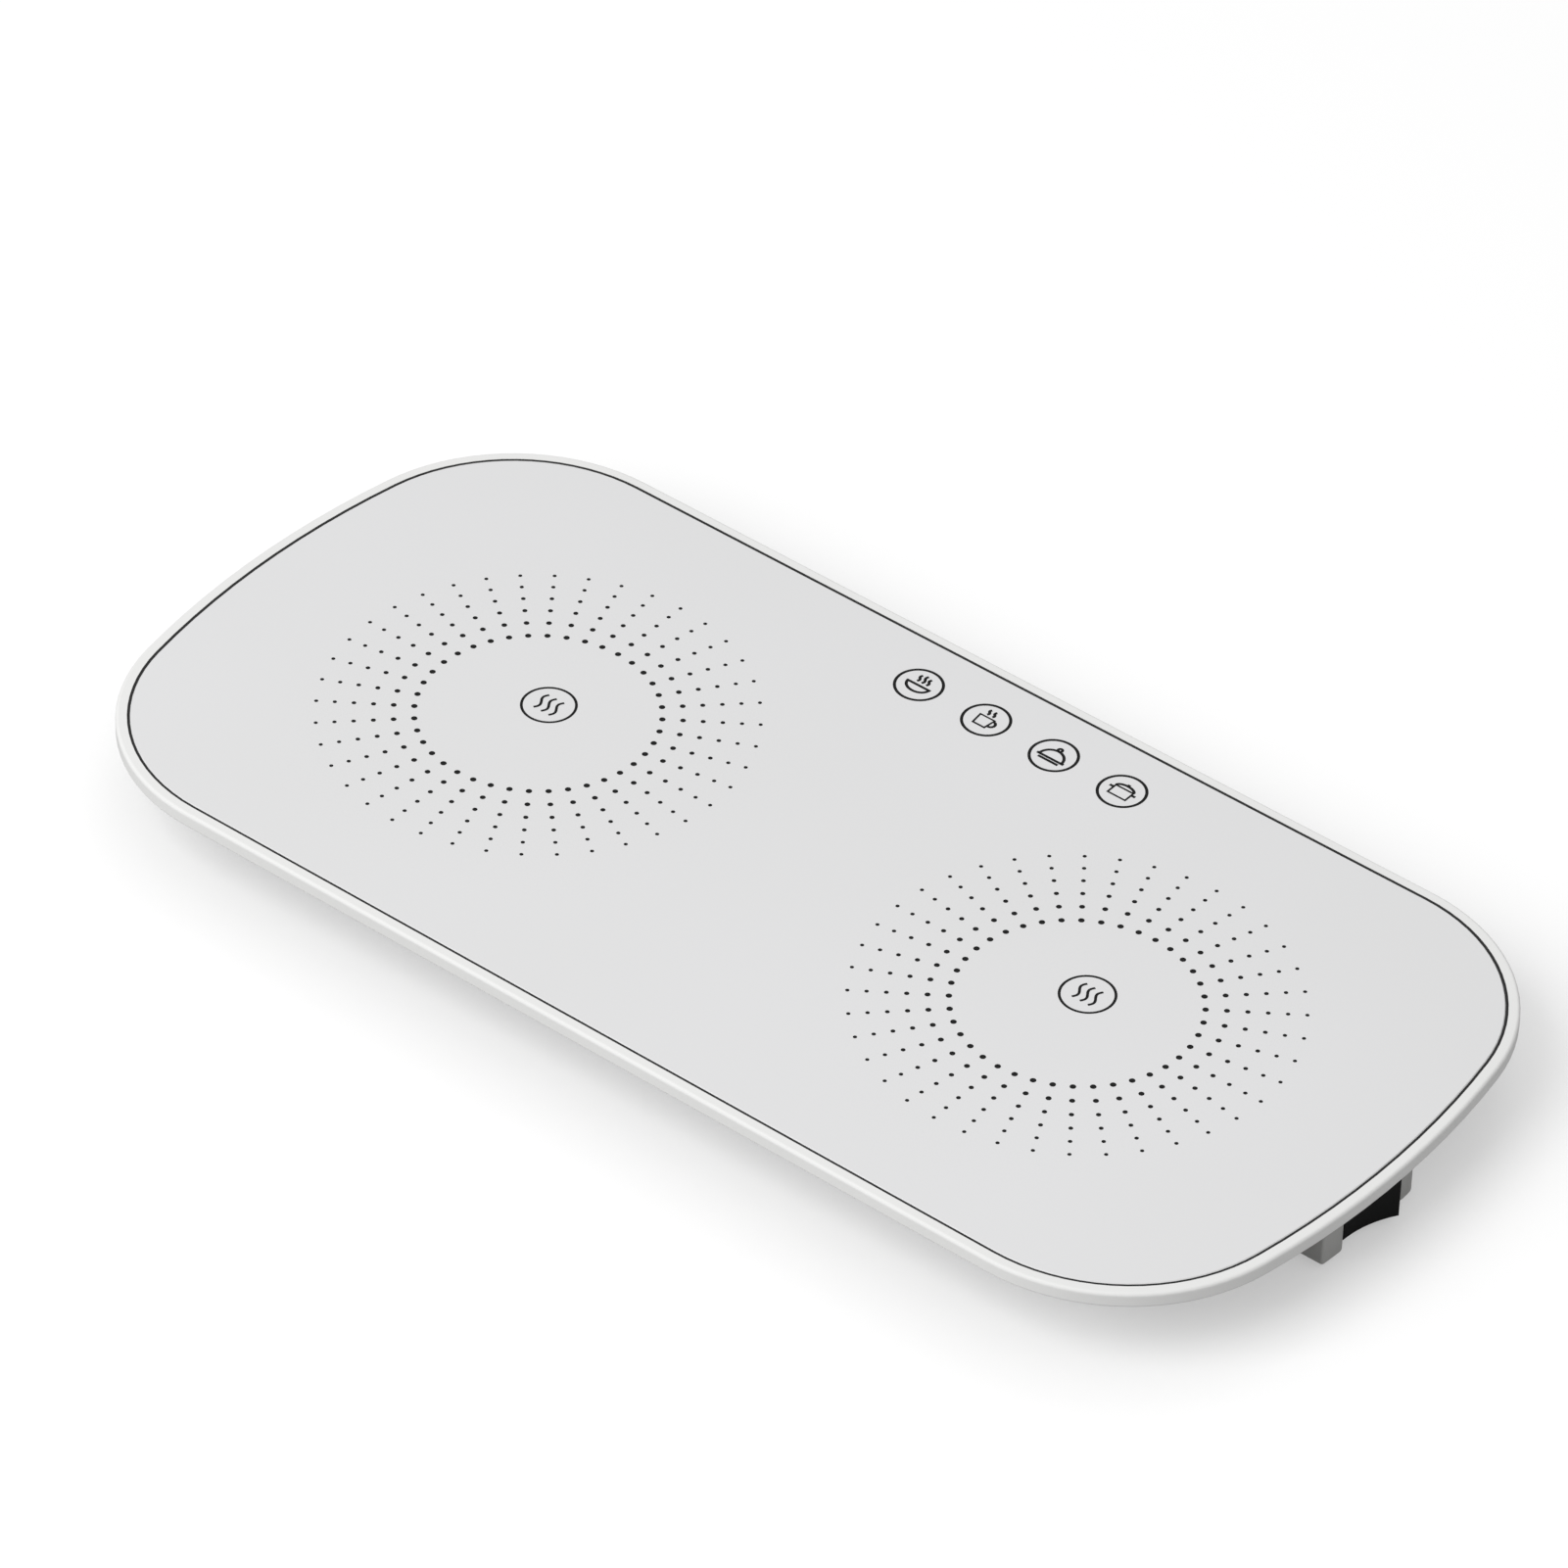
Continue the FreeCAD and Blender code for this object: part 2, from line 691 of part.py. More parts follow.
# Rocker: a dished cap, hollow behind, with a hub on the pin and a stem for the plunger
def make_rocker():
    half = rocker_height / 2
    z = switch_height
    cap = rocker_outline(0, z - half, z + half)
    back_corner = turned_point(-rocker_skirt, -rocker_reach).x
    front_edges = [edge for edge in cap.Edges if edge.BoundBox.XMin > back_corner + part_gap]
    cap = cap.makeFillet(rocker_edge_round, front_edges)
    hollow = rocker_outline(-rocker_wall, z - half + rocker_wall, z + half - rocker_wall)
    half_behind = rocker_reach - 2 * rocker_wall
    behind = box(pivot_x - stem_reach, pivot_x + rocker_wall / 2, -half_behind, half_behind,
                 z - half + rocker_wall, z + half - rocker_wall)
    cap = cap.cut(hollow).cut(behind)
    hub_half = ear_faces()[0] - ear_clearance
    hub = cylinder(hub_radius, pivot_x, 0, z - hub_half, z + hub_half)
    half_web = hub_radius / 2
    web = box(pivot_x, pivot_x + rocker_proud + sink, -half_web, half_web, z - hub_half, z + hub_half)
    stem = Part.makeCylinder(stem_radius, stem_reach, V(pivot_x, 0, z), -X_AXIS)
    rocker = cap.fuse(hub).fuse(web).fuse(stem)
    bore_end = V(pivot_x - bore_start, 0, z)
    bore_length = stem_reach - bore_start - stem_end
    bore = Part.makeCylinder(spring_radius + part_gap, bore_length, bore_end, -X_AXIS)
    guide = Part.makeCylinder(plunger_radius + part_gap / 2, stem_reach, bore_end, -X_AXIS)
    hole_half = hub_half + part_gap
    pin_hole = cylinder(pin_radius + pin_clearance, pivot_x, 0, z - hole_half, z + hole_half)
    rocker = rocker.cut(bore).cut(guide).cut(pin_hole)
    return at_rest(rocker)


def make_pin():
    outer = ear_faces()[1]
    return cylinder(pin_radius, pivot_x, 0, switch_height - outer, switch_height + outer)


def make_plunger():
    z = switch_height
    tip = plunger_reach - plunger_radius
    start = plunger_reach - plunger_depth
    rod = Part.makeCylinder(plunger_radius, tip - start, V(pivot_x - start, 0, z), -X_AXIS)
    nose = Part.makeSphere(plunger_radius, V(pivot_x - tip, 0, z))
    collar = Part.makeCylinder(spring_radius, collar_thickness, V(pivot_x - start, 0, z), -X_AXIS)
    return at_rest(rod.fuse(nose).fuse(collar))


def make_spring():
    z = switch_height
    start = bore_start + part_gap / 2
    length = plunger_reach - plunger_depth - start
    sleeve = Part.makeCylinder(spring_radius, length, V(pivot_x - start, 0, z), -X_AXIS)
    core_start = V(pivot_x - start + over, 0, z)
    core = Part.makeCylinder(spring_radius - spring_wall, length + 2 * over, core_start, -X_AXIS)
    return at_rest(sleeve.cut(core))


# Contact lever: a see-saw strip that rocks on the middle tab's edge, the other way to the rocker
def lever_at_rest(shape):
    turned = shape.copy()
    turned.rotate(V(lever_x, 0, 0), Z_AXIS, lever_tilt)
    return turned


def make_lever():
    rise = math.radians(lever_rise)
    half = lever_span / 2
    up = lever_thickness
    end_x = lever_x + half * math.tan(rise)
    points = [
        V(lever_x, 0, 0), V(end_x, half, 0), V(end_x + up, half, 0),
        V(lever_x + up, 0, 0), V(end_x + up, -half, 0), V(end_x, -half, 0), V(lever_x, 0, 0),
    ]
    face = Part.Face(Part.makePolygon(points))
    face.translate(V(0, 0, switch_height - lever_width / 2))
    strip = face.extrude(V(0, 0, lever_width))
    return lever_at_rest(strip)


def lever_contact_point():
    """Where the rivet sits under the lever's near arm, in the lever's middle place."""
    y = rivet_radius + part_gap - lever_span / 2
    return V(lever_x - y * math.tan(math.radians(lever_rise)), y, switch_height)


def make_lever_rivet():
    rise = math.radians(lever_rise)
    out = V(-math.cos(rise), -math.sin(rise), 0)
    rivet = Part.makeCylinder(rivet_radius, rivet_height, lever_contact_point(), out)
    return lever_at_rest(rivet)


# Tabs: the middle one carries the lever, the other the fixed contact
def make_tab(y, inside_x):
    z = switch_height
    half_width = tab_width / 2 - tab_fit
    half_thickness = (tab_thickness - tab_fit) / 2
    root = case_back + case_end_wall + tab_fit
    blade = box(case_back - tab_length, root, y - half_width, y + half_width,
                z - half_thickness, z + half_thickness)
    post = box(root, inside_x, y - tab_post_half, y + tab_post_half,
               z - tab_post_height, z + tab_post_height)
    eye_x = case_back - tab_length + 3 * tab_eye_radius
    eye = cylinder(tab_eye_radius, eye_x, y, z - tab_thickness, z + tab_thickness)
    return blade.fuse(post).cut(eye)


def make_common_tab():
    return make_tab(0.0, lever_x - part_gap / 2)


def fixed_contact_x():
    """Front of the fixed contact, just behind the lever's rivet at the far stop."""
    point = lever_contact_point()
    angle = math.radians(lever_rise)
    foot = V(point.x - rivet_height * math.cos(angle), point.y - rivet_height * math.sin(angle), 0)
    swing = math.radians(-lever_tilt)
    x = foot.x - lever_x
    low = [x + dx for dx in (-rivet_radius * math.sin(angle), rivet_radius * math.sin(angle))]
    swung = [value * math.cos(swing) - foot.y * math.sin(swing) for value in low]
    return lever_x + min(swung) - contact_gap


def make_line_tab():
    point = lever_contact_point()
    front = fixed_contact_x()
    pad = Part.makeCylinder(rivet_radius, contact_pad, V(front - contact_pad, point.y, switch_height), X_AXIS)
    return make_tab(tab_offset(), front - contact_pad / 2).fuse(pad)


# Inlet: two-pin socket in the pod's far wall
def stadium(width, height, y0, y1):
    half = (width - height) / 2
    body = box(inlet_x - half, inlet_x + half, y0, y1, inlet_z - height / 2, inlet_z + height / 2)
    for sign in (-1, 1):
        start = V(inlet_x + sign * half, y0, inlet_z)
        body = body.fuse(Part.makeCylinder(height / 2, y1 - y0, start, Y_AXIS))
    return body.removeSplitter()


def make_inlet():
    outer = pod_half + inlet_flange
    body = box(inlet_x - inlet_width / 2, inlet_x + inlet_width / 2, pod_half - inlet_depth, outer,
               inlet_z - inlet_height / 2, inlet_z + inlet_height / 2)
    body = body.makeFillet(inlet_round, edges_along(body, Y_AXIS))
    flange = box(inlet_x - inlet_flange_width / 2, inlet_x + inlet_flange_width / 2, pod_half, outer,
                 inlet_z - inlet_flange_height / 2, inlet_z + inlet_flange_height / 2)
    flange = flange.makeFillet(inlet_round, edges_along(flange, Y_AXIS))
    flange = flange.makeChamfer(inlet_edge_break, edges_across(flange, outer))
    body = body.fuse(flange).cut(stadium(socket_width, socket_height, outer - socket_depth, outer + over))
    for sign in (-1, 1):
        x = inlet_x + sign * contact_pitch / 2
        start = V(x, pod_half - inlet_depth - over, inlet_z)
        hole = Part.makeCylinder(contact_radius, inlet_depth * 2, start, Y_AXIS)
        body = body.cut(hole.common(box(0, tray_end, 0, outer - socket_depth + over, 0, pan_bottom)))
    return body


def make_inlet_pins():
    pins = []
    outer = pod_half + inlet_flange
    start = pod_half - inlet_depth - inlet_tail
    end = outer - socket_depth + contact_length
    for sign in (-1, 1):
        x = inlet_x + sign * contact_pitch / 2
        pin = Part.makeCylinder(contact_radius, end - start, V(x, start, inlet_z), Y_AXIS)
        pins.append(pin.makeFillet(contact_tip_round, edges_across(pin, end)))
    return Part.makeCompound(pins)


# Thermostat: snap disc held up against the right-hand heater by a strap
def make_thermostat():
    cap_bottom = heater_bottom - thermostat_cap
    cap = cylinder(thermostat_cap_radius, thermostat_x, 0, cap_bottom, heater_bottom)
    body = cylinder(thermostat_radius, thermostat_x, 0, cap_bottom - thermostat_body, cap_bottom)
    return cap.fuse(body)


def thermostat_bottom():
    return heater_bottom - thermostat_cap - thermostat_body


def make_thermostat_tabs():
    tabs = []
    for sign in (-1, 1):
        x = thermostat_x + sign * thermostat_tab_pitch / 2
        tab = centred_box(thermostat_tab_thickness, thermostat_tab_width,
                          thermostat_tab_end(), thermostat_bottom(), x)
        tabs.append(tab)
    return Part.makeCompound(tabs)


def thermostat_tab_end():
    return thermostat_bottom() - thermostat_tab_length


def strap_top():
    return heater_bottom - thermostat_cap


def make_strap():
    strap = centred_box(strap_width, strap_length, strap_top() - strap_thickness, strap_top(), thermostat_x)
    strap = strap.makeFillet(strap_corner, edges_along(strap, Z_AXIS))
    strap = strap.cut(cylinder(thermostat_radius + part_gap, thermostat_x, 0, pan_inside, plate_bottom))
    for y in strap_screw_offsets():
        strap = strap.cut(cylinder(screw_thread_radius + part_gap, thermostat_x, y, pan_inside, plate_bottom))
    return strap


def strap_screw_offsets():
    offset = strap_length / 2 - strap_screw_inset
    return (-offset, offset)


def make_strap_posts(pan):
    for y in strap_screw_offsets():
        top = strap_top() - strap_thickness
        pan = pan.fuse(cylinder(strap_post_radius, thermostat_x, y, pan_bottom + sink, top))
        pan = pan.cut(cylinder(screw_thread_radius, thermostat_x, y, pan_inside, plate_bottom))
    return pan


def strap_screw(y):
    shank_radius = screw_thread_radius - thread_clearance
    head = cylinder(strap_head_radius, thermostat_x, y, strap_top(), strap_top() + strap_head_height)
    shank = cylinder(shank_radius, thermostat_x, y, pan_inside + screw_tip_gap, strap_top())
    return head.fuse(shank)


# Fuse: a sleeved thermal cut-out lying under the right-hand heater
def fuse_height():
    return busbar_bottom - part_gap - fuse_radius


def make_fuse():
    body = Part.makeCylinder(fuse_radius, fuse_length, V(fuse_x - fuse_length / 2, 0, fuse_height()), X_AXIS)
    return body.makeFillet(fuse_round, body.Edges)


# Grommet: edging round the pan's opening
def make_grommet():
    length = service_length - part_gap
    width = service_width - part_gap
    edging = rounded_slab(length, width, service_corner, pan_bottom, pan_inside + part_gap, service_x)
    bore = 2 * grommet_wall
    inner = rounded_slab(length - bore, width - bore, service_corner - grommet_wall,
                         pan_bottom - over, pan_inside + over, service_x)
    return edging.cut(inner)


def busbar_y(edge):
    return zone_shift + edge * (heater_width / 2 - busbar_width)


def wire_ends_at_heaters():
    ends = [V(riser_x, busbar_y(-1), 0), V(feed_x, busbar_y(1), 0)]
    for side in (-1, 1):
        for edge in (-1, 1):
            ends.append(V(side * link_x, busbar_y(edge), 0))
    return ends


def wire_routes():
    """Each wire's points, worked out from the pieces that it joins."""
    lane = pan_inside + part_gap + wire_radius + wire_gap
    top = busbar_bottom - wire_gap
    tab_end = case_back - tab_length - wire_gap
    pin_end = pod_half - inlet_depth - inlet_tail - wire_gap
    near_pin, far_pin = inlet_x - contact_pitch / 2, inlet_x + contact_pitch / 2
    lug = thermostat_tab_end() - wire_gap
    lug_left = thermostat_x - thermostat_tab_pitch / 2
    lug_right = thermostat_x + thermostat_tab_pitch / 2
    bridge = lug - wire_bend - wire_gap
    fuse_z = fuse_height()
    fuse_left = fuse_x - fuse_length / 2 - wire_gap
    fuse_right = fuse_x + fuse_length / 2 + wire_gap
    near_bus, far_bus = busbar_y(-1), busbar_y(1)
    routes = {
        "wire_live": [
            V(far_pin, pin_end, inlet_z),
            V(far_pin, tab_offset(), inlet_z),
            V(tab_end, tab_offset(), switch_height),
        ],
        "wire_switched": [
            V(tab_end, 0, switch_height),
            V(lug_right, 0, switch_height),
            V(lug_right, 0, lug),
        ],
        "wire_to_fuse": [
            V(lug_left, 0, lug),
            V(lug_left, 0, bridge),
            V(riser_x, 0, bridge),
            V(riser_x, 0, fuse_z),
            V(fuse_right, 0, fuse_z),
        ],
        "wire_feed": [
            V(fuse_left, 0, fuse_z),
            V(fuse_left - fuse_lead, 0, fuse_z),
            V(fuse_left - 3 * fuse_lead, 0, lane),
            V(feed_x, 0, lane),
            V(feed_x, far_bus, lane),
            V(feed_x, far_bus, top),
        ],
        "wire_neutral": [
            V(near_pin, pin_end, inlet_z),
            V(near_pin, riser_y, inlet_z),
            V(riser_x, riser_y, inlet_z),
            V(riser_x, riser_y, lane),
            V(riser_x, near_bus, lane),
            V(riser_x, near_bus, top),
        ],
    }
    for name, y in (("wire_link_near", near_bus), ("wire_link_far", far_bus)):
        routes[name] = [V(link_x, y, top), V(link_x, y, lane), V(-link_x, y, lane), V(-link_x, y, top)]
    return routes


def make_wires():
    return {name: tube(points, wire_radius, wire_bend) for name, points in wire_routes().items()}


def build():
    nodes = {
        "rim_frame": make_rim(),
        "glass_plate": make_plate(),
        "edge_seal": make_seal(),
        "bottom_pan": make_strap_posts(make_pan()),
        "pan_screws": Part.makeCompound([pan_screw(x, y) for x, y in screw_places()]),
        "heater_busbars": make_busbars(),
        "insulation_mat": make_mat(),
        "switch_pod": make_pod(),
        "switch_case": make_switch_case(),
        "rocker": make_rocker(),
        "rocker_pin": make_pin(),
        "contact_plunger": make_plunger(),
        "plunger_spring": make_spring(),
        "contact_lever": make_lever(),
        "lever_rivet": make_lever_rivet(),
        "common_tab": make_common_tab(),
        "line_tab": make_line_tab(),
        "power_inlet": make_inlet(),
        "inlet_pins": make_inlet_pins(),
        "thermostat": make_thermostat(),
        "thermostat_tabs": make_thermostat_tabs(),
        "thermostat_strap": make_strap(),
        "strap_screws": Part.makeCompound([strap_screw(y) for y in strap_screw_offsets()]),
        "thermal_fuse": make_fuse(),
        "pan_grommet": make_grommet(),
    }
    for side, name in ((-1, "left"), (1, "right")):
        nodes["heater_" + name] = make_heater(side)
    seat = pan_bottom - leg_web
    leg_bolts = []
    for x, y in leg_places():
        place = ("near_" if y < 0 else "far_") + ("left" if x < 0 else "right")
        nodes["leg_" + place] = make_leg(x, y)
        nodes["foot_" + place] = make_foot(x, y)
        leg_bolts.append(bolt(x, y, seat, bolt_boss_top - bolt_tip_gap))
    nodes["leg_screws"] = Part.makeCompound(leg_bolts)
    pod_seat = pod_bottom + pod_bolt_seat
    pod_bolts = [bolt(x, y, pod_seat, bolt_boss_top - bolt_tip_gap) for x, y in pod_bolt_places()]
    nodes["pod_screws"] = Part.makeCompound(pod_bolts)
    nodes.update(make_wires())
    return nodes


os.makedirs("parts", exist_ok=True)
for node, shape in build().items():
    shape.exportStep("parts/" + node + ".step")
    size = shape.BoundBox
    corners = (size.XMin, size.XMax, size.YMin, size.YMax, size.ZMin, size.ZMax)
    print(node, len(shape.Solids), round(shape.Volume, 1), [round(v, 2) for v in corners], shape.isValid())
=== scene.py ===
import math

import bpy
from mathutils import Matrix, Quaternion, Vector


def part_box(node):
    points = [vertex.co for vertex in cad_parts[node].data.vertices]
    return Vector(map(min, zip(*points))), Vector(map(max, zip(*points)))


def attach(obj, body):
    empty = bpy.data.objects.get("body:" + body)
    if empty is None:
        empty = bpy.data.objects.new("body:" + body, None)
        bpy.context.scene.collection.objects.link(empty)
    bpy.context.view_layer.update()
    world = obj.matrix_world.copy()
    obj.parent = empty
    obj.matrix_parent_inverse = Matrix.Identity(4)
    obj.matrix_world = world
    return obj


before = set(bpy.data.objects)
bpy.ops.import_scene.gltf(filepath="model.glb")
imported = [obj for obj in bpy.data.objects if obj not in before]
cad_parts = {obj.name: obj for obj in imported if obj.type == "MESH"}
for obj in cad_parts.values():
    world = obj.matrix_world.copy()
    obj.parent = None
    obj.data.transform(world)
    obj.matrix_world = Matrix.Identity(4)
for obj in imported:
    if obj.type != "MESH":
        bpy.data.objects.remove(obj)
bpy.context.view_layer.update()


# Camera: a long lens at the photograph's height and turn. Its place and lens were worked out
# from where the printed rings and the seam stand in the photograph.
camera_place = Vector((1.2890, -1.6564, 1.7609))
view_turn = math.radians(38.079)
view_rise = math.radians(39.200)
view_roll = math.radians(1.770)
lens_length, film_width = 230.9, 36.0
farthest_view = 20.0
toward_camera = Vector((
    math.sin(view_turn) * math.cos(view_rise),
    -math.cos(view_turn) * math.cos(view_rise),
    math.sin(view_rise),
))
bpy.ops.object.camera_add(location=camera_place)
camera = bpy.context.object
camera.rotation_mode = "QUATERNION"
camera.rotation_quaternion = toward_camera.to_track_quat("Z", "Y") @ Quaternion((0, 0, 1), view_roll)
camera.data.sensor_width = film_width
camera.data.lens = lens_length
camera.data.clip_end = farthest_view
bpy.context.scene.camera = camera
bpy.context.scene.view_settings.view_transform = "Standard"


# Floor and light: a plain white floor, an even white room, and a broad soft lamp
# from the near side, which leaves the switch end in half shade. A weak second lamp
# lifts the far side.
floor_size = 12.0
paper_glow = 0.4            # share of the paper's white that the tray's shadow leaves alone
room_light = 0.62


def linear(hex_colour):
    """An sRGB colour as six hex digits, in the linear values that a shader takes."""
    channels = []
    for place in (0, 2, 4):
        value = int(hex_colour[place:place + 2], 16) / 255
        if value <= 0.04045:
            channels.append(value / 12.92)
        else:
            channels.append(((value + 0.055) / 1.055) ** 2.4)
    return (*channels, 1.0)


def add_node(tree, kind, inputs=None, **settings):
    """A shader node with its settings, and its inputs as values or as links from outputs."""
    node = tree.nodes.new(kind)
    for name, value in settings.items():
        setattr(node, name, value)
    for socket, value in (inputs or {}).items():
        if isinstance(value, bpy.types.NodeSocket):
            tree.links.new(value, node.inputs[socket])
        else:
            node.inputs[socket].default_value = value
    return node


def new_material(name):
    """An empty material and its surface output."""
    material = bpy.data.materials.new(name)
    material.use_nodes = True
    tree = material.node_tree
    tree.nodes.clear()
    return material, tree


def finish_material(tree, surface):
    add_node(tree, "ShaderNodeOutputMaterial", {"Surface": surface})


def seen_by_camera(tree):
    """1 where the camera looks straight at a surface, 0 where light is gathered."""
    return add_node(tree, "ShaderNodeLightPath").outputs["Is Camera Ray"]


def paper_floor():
    """Seamless white paper: matt, see-through from below, and darker to light than to the eye."""
    material, tree = new_material("studio_paper")
    colour = add_node(tree, "ShaderNodeMix", {"Factor": seen_by_camera(tree), "A": linear("A8A8A8"),
                                              "B": linear("FFFFFF")}, data_type="RGBA")
    paper = add_node(tree, "ShaderNodeBsdfDiffuse", {"Color": colour.outputs["Result"]})
    glow = add_node(tree, "ShaderNodeEmission", {"Color": linear("FFFFFF"), "Strength": 1.0})
    share = add_node(tree, "ShaderNodeMath", {0: seen_by_camera(tree), 1: paper_glow}, operation="MULTIPLY")
    sheet = add_node(tree, "ShaderNodeMixShader",
                     {0: share.outputs[0], 1: paper.outputs[0], 2: glow.outputs[0]})
    clear = add_node(tree, "ShaderNodeBsdfTransparent")
    below = add_node(tree, "ShaderNodeNewGeometry").outputs["Backfacing"]
    shader = add_node(tree, "ShaderNodeMixShader", {0: below, 1: sheet.outputs[0], 2: clear.outputs[0]})
    finish_material(tree, shader.outputs[0])
    return material


bpy.ops.mesh.primitive_plane_add(size=floor_size, location=(0, 0, 0))
floor = bpy.context.object
floor.name = "studio_floor"
floor.data.materials.append(paper_floor())

room = bpy.data.worlds.new("studio_room")
room.use_nodes = True
room.node_tree.nodes.clear()
strength = add_node(room.node_tree, "ShaderNodeMix",
                    {"Factor": seen_by_camera(room.node_tree), "A": room_light, "B": 1.0}, data_type="FLOAT")
background = add_node(room.node_tree, "ShaderNodeBackground",
                      {"Color": linear("FFFFFF"), "Strength": strength.outputs["Result"]})
add_node(room.node_tree, "ShaderNodeOutputWorld", {"Surface": background.outputs[0]})
bpy.context.scene.world = room


def soft_lamp(name, place, size, power):
    """A square area lamp that faces the tray."""
    bpy.ops.object.light_add(type="AREA", location=place)
    lamp = bpy.context.object
    lamp.name = name
    lamp.data.size = size
    lamp.data.energy = power
    lamp.rotation_euler = Vector(place).to_track_quat("Z", "Y").to_euler()
    return lamp


soft_lamp("near_lamp", place=(-0.5, -1.75, 1.85), size=2.0, power=46.0)
soft_lamp("far_lamp", place=(-0.6, 1.5, 2.1), size=1.2, power=4.0)


# Rim: the tray's surround, satin white ABS moulded in one piece with a fine even grain
# from the tool. Its inner ledge carries the plate, and its bosses take the pan's screws.
def moulded_plastic(name, colour, shade, grain, depth, roughness, gloss=0.5):
    """Moulded plastic: fine tool grain in relief, and a faint cloudiness between two tones."""
    cloud_size = 0.04
    sheen_spread = 0.06
    material, tree = new_material(name)
    place = add_node(tree, "ShaderNodeTexCoord").outputs["Object"]
    cloud = add_node(tree, "ShaderNodeTexNoise", {"Vector": place, "Scale": 1 / cloud_size, "Detail": 2.0})
    tint = add_node(tree, "ShaderNodeMix", {"Factor": cloud.outputs["Fac"], "A": linear(shade),
                                            "B": linear(colour)}, data_type="RGBA")
    tooth = add_node(tree, "ShaderNodeTexNoise", {"Vector": place, "Scale": 1 / grain, "Detail": 3.0})
    relief = add_node(tree, "ShaderNodeBump", {"Height": tooth.outputs["Fac"], "Distance": depth})
    sheen = add_node(tree, "ShaderNodeMapRange", {"Value": tooth.outputs["Fac"],
                                                  "To Min": roughness - sheen_spread,
                                                  "To Max": roughness + sheen_spread})
    shader = add_node(tree, "ShaderNodeBsdfPrincipled", {
        "Base Color": tint.outputs["Result"], "Roughness": sheen.outputs["Result"],
        "Normal": relief.outputs["Normal"], "IOR": 1.53, "Specular IOR Level": gloss})
    finish_material(tree, shader.outputs[0])
    return material


def dress(node_name, material):
    """Give a piece of the frame its finish."""
    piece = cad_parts[node_name]
    piece.data.materials.clear()
    piece.data.materials.append(material)


dress("rim_frame", moulded_plastic("satin_white_abs", colour="E3E3E2", shade="DFDFDE",
                                   grain=0.0004, depth=0.00001, roughness=0.62, gloss=0.15))


# Plate: toughened glass, etched satin on top and painted pale grey behind,
# laid in the rim on its seal.
def etched_glass():
    """Satin-etched glass over grey paint: even and soft, with a very fine sparkle in its sheen."""
    etch_size, etch_depth = 0.0005, 0.000008
    cloud_size = 0.09
    material, tree = new_material("etched_grey_glass")
    place = add_node(tree, "ShaderNodeTexCoord").outputs["Object"]
    etch = add_node(tree, "ShaderNodeTexNoise", {"Vector": place, "Scale": 1 / etch_size, "Detail": 2.0})
    cloud = add_node(tree, "ShaderNodeTexNoise", {"Vector": place, "Scale": 1 / cloud_size, "Detail": 1.0})
    tint = add_node(tree, "ShaderNodeMix", {"Factor": cloud.outputs["Fac"], "A": linear("D7D7D7"),
                                            "B": linear("DADADB")}, data_type="RGBA")
    sheen = add_node(tree, "ShaderNodeMapRange", {"Value": etch.outputs["Fac"],
                                                  "To Min": 0.40, "To Max": 0.52})
    relief = add_node(tree, "ShaderNodeBump", {"Height": etch.outputs["Fac"], "Distance": etch_depth,
                                               "Strength": 0.35})
    shader = add_node(tree, "ShaderNodeBsdfPrincipled", {
        "Base Color": tint.outputs["Result"], "Roughness": sheen.outputs["Result"],
        "Normal": relief.outputs["Normal"], "IOR": 1.52, "Specular IOR Level": 0.35})
    finish_material(tree, shader.outputs[0])
    return material


dress("glass_plate", etched_glass())


# Marks: black enamel, screen printed on the plate and fired. Each zone has six rings of dots
# round a warmth mark, and a row of dish marks runs along the far side.
plate_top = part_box("glass_plate")[1].z
ink_height = 0.000015
zone_offset, zone_shift = 0.0940, -0.0018
rays = 40                   # dots in each ring
dot_radii = (0.00090, 0.00082, 0.00072, 0.00066, 0.00061, 0.00058)
first_ring, ring_step, step_loss = 0.0342, 0.0057, 0.00014
dot_sides = 14
dot_border = 0.12           # sloping border of a dot, as a share of its radius
dot_crown = 0.2             # its middle stands up by this share of the ink's height
sign_radius, sign_line = 6.8, 0.0009
warmth_radius, warmth_line = 7.6, 0.0008
warmth_shift = 0.0045       # warmth marks beyond the zones' middles
row_start, row_pitch, row_y = -0.0224, 0.02367, 0.07645


def printed_enamel():
    """Fired black enamel: dense and satin, with small pinholes in its tone."""
    pinhole_size = 0.0003
    material, tree = new_material("printed_black_enamel")
    place = add_node(tree, "ShaderNodeTexCoord").outputs["Object"]
    mottle = add_node(tree, "ShaderNodeTexNoise", {"Vector": place, "Scale": 1 / pinhole_size, "Detail": 1.0})
    tint = add_node(tree, "ShaderNodeMix", {"Factor": mottle.outputs["Fac"], "A": linear("040404"),
                                            "B": linear("101010")}, data_type="RGBA")
    shader = add_node(tree, "ShaderNodeBsdfPrincipled", {
        "Base Color": tint.outputs["Result"], "Roughness": 0.5, "Specular IOR Level": 0.15})
    finish_material(tree, shader.outputs[0])
    return material


enamel = printed_enamel()


def only(piece):
    """Select one piece and nothing else."""
    bpy.ops.object.select_all(action="DESELECT")
    piece.select_set(True)
    bpy.context.view_layer.objects.active = piece


def joined(pieces, name):
    """Join pieces into one, with its place in its mesh."""
    bpy.ops.object.select_all(action="DESELECT")
    for piece in pieces:
        piece.select_set(True)
    bpy.context.view_layer.objects.active = pieces[0]
    bpy.ops.object.join()
    whole = bpy.context.object
    bpy.ops.object.transform_apply(location=True, rotation=True, scale=True)
    whole.name = name
    whole.data.name = name
    return whole


